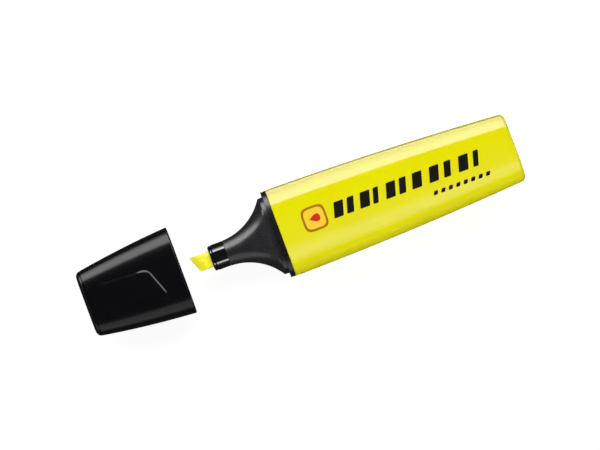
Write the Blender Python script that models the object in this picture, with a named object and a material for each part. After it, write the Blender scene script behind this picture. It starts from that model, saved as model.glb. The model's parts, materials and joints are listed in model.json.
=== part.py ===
"""A flat wedge-shaped highlighter pen with its cap pulled off, as separate solids.

Each piece is modelled along the pen's own axis: x runs from the nib (negative) to the rear (positive), with
x = 0 at the barrel's front edge, y runs across the broad face and z through the thickness. The barrel gets
thinner towards the rear, so the pen's axis is tilted until the barrel's underside lies flat on z = 0.
"""

from math import atan2, cos, pi, radians, sin, sqrt

import bmesh
import bpy
from mathutils import Matrix

MM = 0.001

# Driving dimensions of the outside
BARREL_LENGTH = 74.0 * MM
SEAM_HALF_WIDTH = 13.5 * MM  # where the cap meets the barrel, the widest place
SEAM_HALF_THICK = 8.5 * MM
REAR_HALF_THICK = 7.3 * MM
CAP_LENGTH = 30.0 * MM
CAP_PULLED = 29.75 * MM  # how far the cap stands off its closed place
BARREL_TAPER = 0.00895  # half-width lost for each unit of length
BARREL_BULGE = 0.000439 / MM  # and for each unit of length squared
CAP_TAPER = 0.0673
CAP_BULGE = 0.00174 / MM
CAP_THIN_TAPER = 0.055
CAP_THIN_BULGE = 0.0015 / MM
FLAT_SHARE = 0.26  # of the half-width, the flat strip along the middle of a broad face
BODY_SQUARENESS = 3.2  # the power of the barrel's and cap's rounded section
BODY_HALF_SIDE = 0.05 * MM  # the flat along the middle of a narrow side

# Walls and fits
BARREL_WALL = 1.3 * MM
CAP_WALL = 1.2 * MM
SPIGOT_WALL = 1.2 * MM
SEAM = 0.15 * MM  # between faces that meet
SLIP = 0.2 * MM  # round a piece that slides or presses into another

# Front section: spigot in the barrel, flange, cap seat, flared grip
SPIGOT_LENGTH = 9.0 * MM
FLANGE_FRONT = -1.5 * MM
SEAT_FRONT = -2.75 * MM
SEAT_HALF_WIDTH = 12.0 * MM
SEAT_HALF_THICK = 7.0 * MM
FLARE_FRONT = -17.0 * MM
FLARE_HALF_WIDTH = 3.95 * MM
FLARE_HALF_THICK = 3.35 * MM
FLARE_TANGENT = -17.5 * MM  # where the flare's arcs would run straight
FLARE_RADIUS_WIDE = 17.26 * MM
FLARE_RADIUS_THIN = 32.0 * MM
FLARE_FLAT_SHARE = 0.22  # of its half-width, the flat on its broad face at the nozzle
FLARE_FLAT_GROWTH = 0.3  # and how much wider that share is at the seat

# Nozzle with its tail, and the nib
NOZZLE_FRONT = -22.0 * MM
NOZZLE_HALF_WIDTH = 3.9 * MM
NOZZLE_HALF_THICK = 3.3 * MM
NOZZLE_HALF_FLAT = 2.05 * MM
TAIL_REAR = -8.5 * MM
TAIL_HALF_WIDTH = 3.125 * MM
TAIL_HALF_THICK = 2.6 * MM
NIB_HALF_WIDTH = 2.475 * MM
NIB_HALF_THICK = 1.6 * MM
NIB_TIP = -28.0 * MM  # the long side of the slanted edge
NIB_SLANT = 1.9 * MM  # how much shorter the other side is
NIB_EDGE_HALF_THICK = 0.85 * MM
NIB_REAR = 14.0 * MM

# Ink reservoir
CORE_FRONT = 1.5 * MM
CORE_REAR = 65.0 * MM
CORE_HALF_WIDTH = 8.2 * MM
CORE_HALF_THICK = 4.6 * MM
WRAP_THICKNESS = 0.25 * MM
WRAP_OVERHANG = 0.4 * MM

# End plug, pressed into a straight seat in the barrel's rear
SEAT_DEPTH = 7.5 * MM
REAR_WALL = 1.7 * MM
REAR_ROUND = 1.4 * MM
PLUG_RECESS = 0.25 * MM
PLUG_PLATE = 1.4 * MM
PLUG_WALL = 1.0 * MM

# Inner cap, a sealing sleeve with a base that presses into the cap's closed end
LINER_MOUTH = 15.7 * MM  # depths from the cap's rim
LINER_BOTTOM = 27.6 * MM
LINER_END_WALL = 0.6 * MM
LINER_WALL = 0.8 * MM
LINER_BASE_THICKNESS = 1.0 * MM
CAP_END_WALL = 1.5 * MM
CAP_END_ROUND = 1.3 * MM

CORNER_STEPS = 7
ROUND_STEPS = 4
FLARE_STEPS = 10
SMOOTH_BELOW = radians(32)

YELLOW = (0.79, 0.74, 0.005, 1.0)
YELLOW_FIBRE = (0.87, 0.80, 0.02, 1.0)
BLACK_SATIN = (0.012, 0.012, 0.014, 1.0)
GREY_SATIN = (0.026, 0.026, 0.029, 1.0)
BLACK_GLOSS = (0.004, 0.004, 0.005, 1.0)
CLEAR_FILM = (0.85, 0.86, 0.84, 1.0)


def clear_scene():
    for obj in list(bpy.data.objects):
        bpy.data.objects.remove(obj)


def plain_material(name, colour, roughness, metallic=0.0):
    material = bpy.data.materials.new(name)
    material.use_nodes = True
    shader = material.node_tree.nodes["Principled BSDF"]
    shader.inputs["Base Color"].default_value = colour
    shader.inputs["Roughness"].default_value = roughness
    shader.inputs["Metallic"].default_value = metallic
    material.diffuse_color = colour
    return material


def outline(x, half_width, half_thick, half_flat, half_side, power=2.1, slant=0.0):
    """A closed ring of points at x: a flattened oval with flat broad faces and sides and elliptic corners.

    A power above 2 squares the corners, and 1 makes them straight chamfers. slant moves the ring's +y side
    forward and its -y side back, in metres of x for each metre of y.
    """
    reach_y = half_width - half_flat
    reach_z = half_thick - half_side
    points = []
    for quarter, (sign_y, sign_z) in enumerate(((1, 1), (-1, 1), (-1, -1), (1, -1))):
        for step in range(CORNER_STEPS + 1):
            turn = step / CORNER_STEPS * pi / 2
            if quarter % 2:
                turn = pi / 2 - turn
            y = sign_y * (half_flat + reach_y * max(cos(turn), 0.0) ** (2 / power))
            z = sign_z * (half_side + reach_z * max(sin(turn), 0.0) ** (2 / power))
            points.append((x - slant * y, y, z))
    return points


def loft(name, rings, material, wrap=False):
    """One closed solid through the rings in order. wrap joins the last ring to the first, for a tube."""
    bm = bmesh.new()
    loops = [[bm.verts.new(point) for point in ring] for ring in rings]
    pairs = list(zip(loops, loops[1:]))
    if wrap:
        pairs.append((loops[-1], loops[0]))
    else:
        bm.faces.new(loops[0])
        bm.faces.new(loops[-1])
    count = len(loops[0])
    for near, far in pairs:
        for i in range(count):
            j = (i + 1) % count
            bm.faces.new((near[i], near[j], far[j], far[i]))
    bmesh.ops.recalc_face_normals(bm, faces=bm.faces)
    mesh = bpy.data.meshes.new(name)
    bm.to_mesh(mesh)
    bm.free()
    mesh.materials.append(material)
    mesh.shade_smooth()
    mesh.set_sharp_from_angle(angle=SMOOTH_BELOW)
    obj = bpy.data.objects.new(name, mesh)
    bpy.context.scene.collection.objects.link(obj)
    return obj


def fins(name, stations, thickness, directions):
    """A helper of thin plates that stand on a wall. A station is (x, inner, outer) along its direction.

    A direction is (axis, sign, offset): axis "y" or "z" that the plate reaches along, its sign, and how far
    the plate stands to the side of the pen's middle.
    """
    bm = bmesh.new()
    for axis, sign, offset in directions:
        loops = []
        for x, inner, outer in stations:
            corners = ((inner, -1), (outer, -1), (outer, 1), (inner, 1))
            loop = []
            for reach, side in corners:
                along, across = sign * reach, offset + side * thickness / 2
                place = (x, along, across) if axis == "y" else (x, across, along)
                loop.append(bm.verts.new(place))
            loops.append(loop)
        bm.faces.new(loops[0])
        bm.faces.new(loops[-1])
        for near, far in zip(loops, loops[1:]):
            for i in range(4):
                j = (i + 1) % 4
                bm.faces.new((near[i], near[j], far[j], far[i]))
    bmesh.ops.recalc_face_normals(bm, faces=bm.faces)
    mesh = bpy.data.meshes.new(name)
    bm.to_mesh(mesh)
    bm.free()
    return helper_object(name, mesh)


def helper_object(name, mesh):
    obj = bpy.data.objects.new(name, mesh)
    bpy.context.scene.collection.objects.link(obj)
    obj.hide_render = True
    obj.display_type = "WIRE"
    return obj


def combine(target, helper, operation="UNION"):
    modifier = target.modifiers.new(helper.name, "BOOLEAN")
    modifier.operation = operation
    modifier.solver = "EXACT"
    modifier.object = helper


def mix(a, b, share):
    return a + (b - a) * share


def body_outline(x, half_width, half_thick):
    """The section that barrel, cap and their fits share: flat strips in the middles and round corners."""
    return outline(x, half_width, half_thick, half_width * FLAT_SHARE, BODY_HALF_SIDE, power=BODY_SQUARENESS)


def body_height(half_width, half_thick, y):
    """How high the broad face of that section lies at y."""
    flat = half_width * FLAT_SHARE
    run = max(abs(y) - flat, 0.0) / (half_width - flat)
    rise = (1 - run**BODY_SQUARENESS) ** (1 / BODY_SQUARENESS)
    return BODY_HALF_SIDE + (half_thick - BODY_HALF_SIDE) * rise


# Barrel ------------------------------------------------------------------------------------------------


def barrel_half_width(x):
    return SEAM_HALF_WIDTH - BARREL_TAPER * x - BARREL_BULGE * x * x


def barrel_half_thick(x):
    return mix(SEAM_HALF_THICK, REAR_HALF_THICK, x / BARREL_LENGTH)


def barrel_ring(x, inset=0.0, place=None):
    """The barrel's outside at x, drawn in by inset, and moved along the axis to place if that is given."""
    at = x if place is None else place
    return body_outline(at, barrel_half_width(x) - inset, barrel_half_thick(x) - inset)


def plug_seat_ring(x, inset=0.0):
    """The straight seat in the barrel's rear, the same at every x."""
    width = barrel_half_width(BARREL_LENGTH) - REAR_WALL - inset
    return body_outline(x, width, REAR_HALF_THICK - REAR_WALL - inset)


def build_barrel(material):
    edge = 0.3 * MM
    rings = [barrel_ring(0.0, inset=edge), barrel_ring(edge)]
    round_start = BARREL_LENGTH - REAR_ROUND
    spans = 8
    rings += [barrel_ring(mix(edge, round_start, step / spans)) for step in range(1, spans + 1)]
    for step in range(1, ROUND_STEPS + 1):
        turn = step / ROUND_STEPS * pi / 2
        x = round_start + REAR_ROUND * sin(turn)
        rings.append(barrel_ring(x, inset=REAR_ROUND * (1 - cos(turn))))
    seat_start = BARREL_LENGTH - SEAT_DEPTH
    rings += [plug_seat_ring(BARREL_LENGTH), plug_seat_ring(seat_start)]
    inside = (seat_start - 2 * MM, 44 * MM, 22 * MM, 0.0)
    rings += [barrel_ring(x, inset=BARREL_WALL) for x in inside]
    barrel = loft("barrel", rings, material, wrap=True)
    combine(barrel, barrel_ribs())
    return barrel


def barrel_ribs():
    """Ribs inside the barrel that hold the wrapped reservoir in the middle."""
    rib_start, rib_end = SPIGOT_LENGTH + 1.5 * MM, BARREL_LENGTH - SEAT_DEPTH - 0.3 * MM
    into_wall = 0.6 * MM
    wrap_half_thick = CORE_HALF_THICK + SEAM + WRAP_THICKNESS
    wrap_half_width = CORE_HALF_WIDTH + SEAM + WRAP_THICKNESS
    broad, narrow = [], []
    for step in range(4):
        x = mix(rib_start, rib_end, step / 3)
        broad.append((x, wrap_half_thick + SLIP, barrel_half_thick(x) - into_wall))
        narrow.append((x, wrap_half_width + SLIP, barrel_half_width(x) - into_wall))
    thickness = 0.8 * MM
    rib_spread = 4.0 * MM
    directions = [("z", sign, offset) for sign in (1, -1) for offset in (-rib_spread, rib_spread)]
    ribs = fins("barrel_broad_ribs", broad, thickness, directions)
    side_ribs = fins("barrel_side_ribs", narrow, thickness, [("y", 1, 0.0), ("y", -1, 0.0)])
    combine(ribs, side_ribs)
    return ribs


def build_end_plug(material):
    front = BARREL_LENGTH - SEAT_DEPTH + SEAM
    back = BARREL_LENGTH - PLUG_RECESS
    edge = 0.35 * MM
    inner = SEAM + PLUG_WALL
    rings = [
        plug_seat_ring(back, inset=SEAM + edge),
        plug_seat_ring(back - edge, inset=SEAM),
        plug_seat_ring(front + edge, inset=SEAM),
        plug_seat_ring(front, inset=SEAM + edge),
        plug_seat_ring(front, inset=inner),
        plug_seat_ring(back - PLUG_PLATE, inset=inner),
    ]
    plug = loft("end_plug", rings, material)
    combine(plug, plug_cross(front, back))
    return plug


def plug_cross(front, back):
    """A cross of plates inside the plug that stops the reservoir from sliding back."""
    into = 0.5 * MM
    wide = barrel_half_width(BARREL_LENGTH) - REAR_WALL - SEAM - PLUG_WALL + into
    thin = REAR_HALF_THICK - REAR_WALL - SEAM - PLUG_WALL + into
    stations_wide = [(front + SLIP, -wide, wide), (back - PLUG_PLATE + into, -wide, wide)]
    stations_thin = [(x, -thin, thin) for x, _, _ in stations_wide]
    thickness = 0.9 * MM
    spread = 4.0 * MM
    cross = fins("plug_plate_wide", stations_wide, thickness, [("y", 1, 0.0)])
    bars = fins("plug_plates_thin", stations_thin, thickness, [("z", 1, -spread), ("z", 1, spread)])
    combine(cross, bars)
    return cross


# Front section -----------------------------------------------------------------------------------------


def flare_arc(x, start, radius):
    """Half-size of the flare at x: a circular arc that leaves the nozzle end tangentially."""
    run = x - FLARE_TANGENT
    return start + radius - sqrt(radius * radius - run * run)


def flare_half_width(x):
    return flare_arc(x, FLARE_HALF_WIDTH, FLARE_RADIUS_WIDE)


def flare_half_thick(x):
    return flare_arc(x, FLARE_HALF_THICK, FLARE_RADIUS_THIN)


def flare_ring(x, inset=0.0):
    width, thick = flare_half_width(x) - inset, flare_half_thick(x) - inset
    along = (x - FLARE_FRONT) / (SEAT_FRONT - FLARE_FRONT)
    flat = width * (FLARE_FLAT_SHARE + FLARE_FLAT_GROWTH * along**3)
    return outline(x, width, thick, flat, thick * 0.3)


def seat_ring(x, inset=0.0):
    return body_outline(x, SEAT_HALF_WIDTH - inset, SEAT_HALF_THICK - inset)


def spigot_ring(x, inset=0.0, place=None):
    return barrel_ring(x, inset=BARREL_WALL + SLIP + inset, place=place)


def holder_bore_ring(x):
    """The bore in the front section that the nozzle's tail presses into."""
    fit = 0.1 * MM
    width, thick = TAIL_HALF_WIDTH + fit, TAIL_HALF_THICK + fit
    return outline(x, width, thick, width * 0.6, thick * 0.5)


def build_front_section(material):
    edge = 0.25 * MM
    rings = [
        spigot_ring(SPIGOT_LENGTH, inset=edge),
        spigot_ring(SPIGOT_LENGTH - 2 * edge),
        spigot_ring(0.0),
        spigot_ring(0.0, place=-SEAM),
        barrel_ring(0.0, inset=edge, place=-SEAM),
        barrel_ring(0.0, place=-SEAM - edge),
        barrel_ring(0.0, place=FLANGE_FRONT + edge),
        barrel_ring(0.0, inset=edge, place=FLANGE_FRONT),
        seat_ring(FLANGE_FRONT),
        seat_ring(SEAT_FRONT + edge),
        seat_ring(SEAT_FRONT, inset=edge),
    ]
    flare_start = SEAT_FRONT - edge
    for step in range(FLARE_STEPS + 1):
        rings.append(flare_ring(mix(flare_start, FLARE_FRONT, step / FLARE_STEPS)))
    bore_rear = -8.0 * MM
    rings += [holder_bore_ring(FLARE_FRONT), holder_bore_ring(bore_rear)]
    cavity = ((-7.5 * MM, 1.8 * MM), (-5.0 * MM, 1.6 * MM))
    rings += [flare_ring(x, inset=wall) for x, wall in cavity]
    rings += [seat_ring(SEAT_FRONT + 0.6 * MM, inset=2.0 * MM)]
    rings += [spigot_ring(0.5 * MM, inset=SPIGOT_WALL), spigot_ring(SPIGOT_LENGTH, inset=SPIGOT_WALL)]
    section = loft("front_section", rings, material, wrap=True)
    combine(section, reservoir_stops())
    return section


def reservoir_stops():
    """Fins inside the front section that the wrapped reservoir comes up against."""
    near_tail, middle, stop = TAIL_REAR + 1.5 * MM, -3.0 * MM, CORE_FRONT - WRAP_OVERHANG - SLIP
    into = 0.6 * MM
    clear_of_tail = 0.5 * MM
    wide_inner, thin_inner = TAIL_HALF_WIDTH + clear_of_tail, TAIL_HALF_THICK + clear_of_tail
    spigot_inset = BARREL_WALL + SLIP + into
    wide = [(x, wide_inner, flare_half_width(x) - into) for x in (near_tail, middle)]
    wide.append((stop, wide_inner, SEAM_HALF_WIDTH - spigot_inset))
    thin = [(x, thin_inner, flare_half_thick(x) - into) for x in (near_tail, middle)]
    thin.append((stop, thin_inner, SEAM_HALF_THICK - spigot_inset))
    thickness = 1.0 * MM
    stops = fins("reservoir_stops_wide", wide, thickness, [("y", 1, 0.0), ("y", -1, 0.0)])
    thin_stops = fins("reservoir_stops_thin", thin, thickness, [("z", 1, 0.0), ("z", -1, 0.0)])
    combine(stops, thin_stops)
    return stops


# Nozzle, nib and reservoir -----------------------------------------------------------------------------


def nozzle_ring(x, inset=0.0):
    """The nozzle's outside: broad flats between bevelled corners."""
    width, thick = NOZZLE_HALF_WIDTH - inset, NOZZLE_HALF_THICK - inset
    return outline(x, width, thick, NOZZLE_HALF_FLAT, 1.3 * MM, power=1.5)


def tail_ring(x, inset=0.0):
    width, thick = TAIL_HALF_WIDTH - inset, TAIL_HALF_THICK - inset
    return outline(x, width, thick, width * 0.6, thick * 0.5)


def nib_channel_ring(x):
    """The nib's slot, with room above and below the nib for air to pass."""
    width, thick = NIB_HALF_WIDTH + 0.12 * MM, 2.0 * MM
    return outline(x, width, thick, width - 0.3 * MM, thick - 0.3 * MM)


def build_nib_holder(material):
    edge = 0.5 * MM
    shoulder = FLARE_FRONT - SEAM
    rings = [nib_channel_ring(NOZZLE_FRONT), nozzle_ring(NOZZLE_FRONT, inset=edge)]
    for step in range(1, ROUND_STEPS):
        turn = step / ROUND_STEPS * pi / 2
        rings.append(nozzle_ring(NOZZLE_FRONT + edge * (1 - cos(turn)), inset=edge * (1 - sin(turn))))
    rings += [
        nozzle_ring(NOZZLE_FRONT + edge),
        nozzle_ring(shoulder),
        tail_ring(shoulder),
        tail_ring(TAIL_REAR - edge),
        tail_ring(TAIL_REAR, inset=0.2 * MM),
        nib_channel_ring(TAIL_REAR),
    ]
    holder = loft("nib_holder", rings, material, wrap=True)
    combine(holder, nib_grips())
    return holder


def nib_grips():
    """Six small ribs along the slot, three on each broad side, that grip the nib and leave air channels."""
    into = 0.3 * MM
    reach = (NIB_HALF_THICK + 0.1 * MM, 2.0 * MM + into)
    ends = (NOZZLE_FRONT + 1.0 * MM, TAIL_REAR - 0.6 * MM)
    stations = [(x, *reach) for x in ends]
    spread = 1.6 * MM
    directions = [("z", sign, offset) for sign in (1, -1) for offset in (-spread, 0.0, spread)]
    return fins("nib_grips", stations, 0.5 * MM, directions)


def nib_ring(x, half_thick, slant=0.0, half_width=NIB_HALF_WIDTH):
    corner = 0.4 * MM
    return outline(x, half_width, half_thick, half_width - corner, half_thick - corner, slant=slant)


def build_nib(material):
    slant = NIB_SLANT / (2 * NIB_HALF_WIDTH)
    edge_middle = NIB_TIP + NIB_SLANT / 2
    wedge_start = -24.4 * MM
    point_start = NIB_REAR - 3.0 * MM
    rings = [
        nib_ring(edge_middle, NIB_EDGE_HALF_THICK - 0.2 * MM, slant, NIB_HALF_WIDTH - 0.2 * MM),
        nib_ring(edge_middle + 0.2 * MM, NIB_EDGE_HALF_THICK, slant),
        nib_ring(wedge_start, NIB_HALF_THICK, slant * 0.4),
        nib_ring(NOZZLE_FRONT, NIB_HALF_THICK),
        nib_ring(point_start, NIB_HALF_THICK),
        nib_ring(NIB_REAR, NIB_HALF_THICK * 0.45, half_width=NIB_HALF_WIDTH * 0.6),
    ]
    return loft("nib", rings, material)


def core_ring(x, inset=0.0):
    width, thick = CORE_HALF_WIDTH - inset, CORE_HALF_THICK - inset
    return outline(x, width, thick, CORE_HALF_WIDTH - CORE_HALF_THICK, 0.3 * MM, power=2.0)


def nib_pocket_ring(x, inset=0.0):
    room = 0.3 * MM - inset
    return nib_ring(x, NIB_HALF_THICK + room, half_width=NIB_HALF_WIDTH + room)


def build_reservoir_core(material):
    edge = 0.4 * MM
    rings = [
        core_ring(CORE_REAR, inset=edge),
        core_ring(CORE_REAR - edge),
        core_ring(CORE_FRONT + edge),
        core_ring(CORE_FRONT, inset=edge),
        nib_pocket_ring(CORE_FRONT),
        nib_pocket_ring(NIB_REAR + 0.3 * MM),
    ]
    return loft("reservoir_core", rings, material)


def build_reservoir_wrap(material):
    outside = -SEAM - WRAP_THICKNESS
    front, rear = CORE_FRONT - WRAP_OVERHANG, CORE_REAR + WRAP_OVERHANG
    rings = [
        core_ring(front, inset=outside),
        core_ring(rear, inset=outside),
        core_ring(rear, inset=-SEAM),
        core_ring(front, inset=-SEAM),
    ]
    return loft("reservoir_wrap", rings, material, wrap=True)


# Cap: x is 0 at its rim and negative towards its closed end ---------------------------------------------


def cap_half_width(depth):
    return SEAM_HALF_WIDTH - CAP_TAPER * depth - CAP_BULGE * depth * depth


def cap_half_thick(depth):
    return SEAM_HALF_THICK - CAP_THIN_TAPER * depth - CAP_THIN_BULGE * depth * depth


def cap_ring(depth, inset=0.0, place=None):
    """The cap's outside at a depth from its rim, drawn in by inset."""
    at = depth if place is None else place
    return body_outline(-at, cap_half_width(depth) - inset, cap_half_thick(depth) - inset)


def build_cap_shell(material):
    edge = 0.25 * MM
    rings = []
    for step in range(ROUND_STEPS + 1):
        turn = step / ROUND_STEPS * pi / 2
        depth = CAP_LENGTH - CAP_END_ROUND * (1 - sin(turn))
        rings.append(cap_ring(depth, inset=CAP_END_ROUND * (1 - cos(turn))))
    rings.reverse()
    spans = 6
    rings += [cap_ring(mix(CAP_LENGTH - CAP_END_ROUND, edge, step / spans)) for step in range(1, spans + 1)]
    rings += [cap_ring(0.0, inset=edge), cap_ring(0.0, inset=CAP_WALL)]
    inside = (5 * MM, 10 * MM, 15 * MM, 20 * MM, 25 * MM, CAP_LENGTH - CAP_END_WALL)
    rings += [cap_ring(depth, inset=CAP_WALL) for depth in inside]
    shell = loft("cap_shell", rings, material)
    combine(shell, relief_panel("relief_panel_top", 1))
    combine(shell, relief_panel("relief_panel_under", -1))
    return shell


def relief_panel(name, side):
    """A raised panel on the cap's broad face that stands proud at one corner and sinks away from it.

    Its outline is (depth from the rim, y, height over the face), and side is 1 for the top face, -1 for the
    underside.
    """
    proud = 0.32 * MM
    sunk = -0.35 * MM
    corner_depth, corner_y, corner_radius = 9.0 * MM, 3.9 * MM, 1.9 * MM
    edge = [(26.0 * MM, 4.6 * MM, -0.05 * MM), (18.0 * MM, 4.25 * MM, proud * 0.7)]
    for step in range(5):
        turn = radians(mix(90, 20, step / 4))
        depth = corner_depth + corner_radius * (1 - cos(turn - radians(20)))
        edge.append((depth, corner_y - corner_radius * (1 - sin(turn)), proud))
    edge += [(7.5 * MM, 0.0, proud * 0.8), (5.6 * MM, -5.2 * MM, -0.1 * MM)]
    edge += [(12.0 * MM, -6.0 * MM, sunk), (26.0 * MM, -5.0 * MM, sunk)]
    bm = bmesh.new()
    tops, bottoms = [], []
    for depth, y, height in edge:
        face = body_height(cap_half_width(depth), cap_half_thick(depth), y)
        tops.append(bm.verts.new((-depth, y, side * (face + height))))
        bottoms.append(bm.verts.new((-depth, y, side * (face - 0.8 * MM))))
    middle_depth = 14.0 * MM
    crown = bm.verts.new((-middle_depth, 0.0, side * (cap_half_thick(middle_depth) + 0.12 * MM)))
    floor = bm.verts.new((-middle_depth, 0.0, side * (cap_half_thick(middle_depth) - 0.8 * MM)))
    count = len(edge)
    for i in range(count):
        j = (i + 1) % count
        bm.faces.new((tops[i], tops[j], crown))
        bm.faces.new((bottoms[j], bottoms[i], floor))
        bm.faces.new((tops[j], tops[i], bottoms[i], bottoms[j]))
    bmesh.ops.recalc_face_normals(bm, faces=bm.faces)
    mesh = bpy.data.meshes.new(name)
    bm.to_mesh(mesh)
    bm.free()
    return helper_object(name, mesh)


def liner_ring(depth, inset=0.0):
    """The sealing sleeve's bore, a slip fit on the nozzle. A negative inset gives its outside."""
    width, thick = NOZZLE_HALF_WIDTH + SLIP - inset, NOZZLE_HALF_THICK + SLIP - inset
    return outline(-depth, width, thick, NOZZLE_HALF_FLAT, 1.3 * MM, power=1.6)


def build_cap_liner(material):
    lead_in = 0.3 * MM
    outside = -LINER_WALL
    bottom = LINER_BOTTOM + LINER_END_WALL
    base_front = bottom - LINER_BASE_THICKNESS
    rings = [
        cap_ring(bottom, inset=CAP_WALL + SLIP),
        cap_ring(bottom, inset=CAP_WALL + SLIP, place=base_front),
        liner_ring(base_front, inset=outside),
        liner_ring(LINER_MOUTH + lead_in, inset=outside),
        liner_ring(LINER_MOUTH, inset=outside + lead_in),
        liner_ring(LINER_MOUTH, inset=-lead_in),
        liner_ring(LINER_MOUTH + 2 * lead_in),
        liner_ring(LINER_BOTTOM),
    ]
    return loft("cap_liner", rings, material)


# Assembly ----------------------------------------------------------------------------------------------


def empty(name, parent=None):
    obj = bpy.data.objects.new(name, None)
    obj.empty_display_size = 5 * MM
    bpy.context.scene.collection.objects.link(obj)
    obj.parent = parent
    return obj


def place_on(parent, objects):
    """Parents the pieces, and the helpers that cut or extend them, to an empty on their axis."""
    for obj in objects:
        obj.parent = parent
        for modifier in obj.modifiers:
            place_on(parent, [modifier.object])


def main():
    clear_scene()
    yellow = plain_material("yellow_plastic", YELLOW, 0.3)
    satin = plain_material("black_satin_plastic", BLACK_SATIN, 0.38)
    grey_satin = plain_material("grey_satin_plastic", GREY_SATIN, 0.42)
    gloss = plain_material("black_gloss_plastic", BLACK_GLOSS, 0.15)
    nib_fibre = plain_material("nib_fibre", YELLOW_FIBRE, 0.8)
    core_fibre = plain_material("core_fibre", YELLOW_FIBRE, 0.9)
    film = plain_material("clear_film", CLEAR_FILM, 0.2)

    tilt = atan2(SEAM_HALF_THICK - REAR_HALF_THICK, BARREL_LENGTH)
    pen = empty("pen_axis")
    half_overhang = (BARREL_LENGTH - CAP_LENGTH - CAP_PULLED + FLANGE_FRONT - SEAM) / 2
    pen.location = (-half_overhang, 0.0, SEAM_HALF_THICK * cos(tilt))
    pen.rotation_euler = (0.0, tilt, 0.0)
    cap = empty("cap_axis", parent=pen)
    cap.location = (FLANGE_FRONT - SEAM - CAP_PULLED, 0.0, 0.0)

    pen_pieces = [
        build_barrel(yellow),
        build_end_plug(yellow),
        build_front_section(grey_satin),
        build_nib_holder(gloss),
        build_nib(nib_fibre),
        build_reservoir_core(core_fibre),
        build_reservoir_wrap(film),
    ]
    place_on(pen, pen_pieces)
    place_on(cap, [build_cap_shell(satin), build_cap_liner(satin)])


main()
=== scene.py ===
"""The highlighter's looks: fine meshes in place of the plain solids, procedural materials and a white studio.

Each piece is built in the pen's own frame and then placed: x runs along the axis from the nib (negative) to
the rear (positive) with x = 0 at the barrel's front edge, y runs across the broad face and z through the
thickness. The cap's pieces have x = 0 at the cap's rim instead. Lengths are in metres.
"""

import json
from math import asin, cos, hypot, pi, radians, sin, sqrt

import bmesh
import bpy
from mathutils import Matrix, Vector


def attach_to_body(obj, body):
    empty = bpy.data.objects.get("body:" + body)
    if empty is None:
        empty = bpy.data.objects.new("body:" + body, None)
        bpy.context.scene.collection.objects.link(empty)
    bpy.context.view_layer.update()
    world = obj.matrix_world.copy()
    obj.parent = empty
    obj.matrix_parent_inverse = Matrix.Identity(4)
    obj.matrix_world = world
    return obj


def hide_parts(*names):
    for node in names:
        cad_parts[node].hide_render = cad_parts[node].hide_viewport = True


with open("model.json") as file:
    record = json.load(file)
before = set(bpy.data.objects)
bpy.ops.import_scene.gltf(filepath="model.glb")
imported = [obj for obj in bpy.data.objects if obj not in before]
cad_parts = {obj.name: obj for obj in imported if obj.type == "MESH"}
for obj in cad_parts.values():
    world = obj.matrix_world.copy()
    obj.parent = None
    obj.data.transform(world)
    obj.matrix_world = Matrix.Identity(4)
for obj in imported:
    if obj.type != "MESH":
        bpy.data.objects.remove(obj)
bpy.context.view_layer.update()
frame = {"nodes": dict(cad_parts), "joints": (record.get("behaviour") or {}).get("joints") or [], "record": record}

MM = 0.001

# The pen's frame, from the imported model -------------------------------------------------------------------

slide = frame["joints"][0]
cap_end_mount = next(m for m in frame["record"]["mounts"] if m["name"] == "cap_end")
AXIS_X = -Vector(slide["axis"]).normalized()  # towards the rear
AXIS_Y = Vector((0.0, 1.0, 0.0))
AXIS_Z = AXIS_X.cross(AXIS_Y)
CAP_PULLED = -slide["range_m"][0]

# Driving dimensions. The solids share them, except the crowns, TIGHT, the flare's flat and small roundings.
# Half-widths are along y and half-thicknesses along z.
BARREL_LENGTH = 74.0 * MM
SEAM_HALF_WIDTH = 13.5 * MM
SEAM_HALF_THICK = 8.5 * MM
REAR_HALF_THICK = 7.3 * MM
BARREL_TAPER = 0.00895  # half-width lost for each unit of length
BARREL_BULGE = 0.000439 / MM  # and for each unit of length squared
CAP_LENGTH = 30.0 * MM
CAP_TAPER = 0.0673
CAP_BULGE = 0.00174 / MM
CAP_THIN_TAPER = 0.055
CAP_THIN_BULGE = 0.0015 / MM
FLAT_SHARE = 0.26  # of the half-width, the flat strip along the middle of a broad face
CROWN = 0.031  # how far a broad face falls towards its sides, as a share of its height
BODY_SQUARENESS = 3.2  # the power of the barrel's and cap's rounded section
BARREL_WALL = 1.3 * MM
CAP_WALL = 1.2 * MM
SPIGOT_WALL = 1.2 * MM
SEAM = 0.15 * MM  # between faces that meet
TIGHT = 0.03 * MM  # what is left of a seam where two pieces are pressed together
SLIP = 0.2 * MM  # round a piece that slides or presses into another
SPIGOT_LENGTH = 9.0 * MM
FLANGE_FRONT = -1.5 * MM
SEAT_FRONT = -2.75 * MM
SEAT_HALF_WIDTH = 12.0 * MM  # of the step that the cap closes over
SEAT_HALF_THICK = 7.0 * MM
FLARE_FRONT = -17.0 * MM
FLARE_HALF_WIDTH = 3.95 * MM
FLARE_HALF_THICK = 3.35 * MM
FLARE_TANGENT = -17.5 * MM  # where the flare's arcs would run straight
FLARE_RADIUS_WIDE = 17.26 * MM
FLARE_RADIUS_THIN = 32.0 * MM
FLARE_FLAT_START = -14.0 * MM  # from here to the rear the flare's broad face has a flat
FLARE_FLAT_GROWTH = 0.046 / MM  # the share of the half-width that the flat gains for each unit of length
NOZZLE_FRONT = -22.0 * MM
NOZZLE_HALF_WIDTH = 3.9 * MM
NOZZLE_HALF_THICK = 3.3 * MM
NOZZLE_HALF_FLAT = 2.05 * MM
NOZZLE_HALF_SIDE = 1.3 * MM
NOZZLE_FOLD = 1.8 * MM  # the reach of the rounding along its eight edges
NOZZLE_FLAT_LOSS = 0.4  # how much of an inset its flats lose
TAIL_REAR = -8.5 * MM
TAIL_HALF_WIDTH = 3.125 * MM
TAIL_HALF_THICK = 2.6 * MM
TAIL_BORE_REAR = -8.0 * MM
TAIL_FIT = 0.1 * MM
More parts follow.
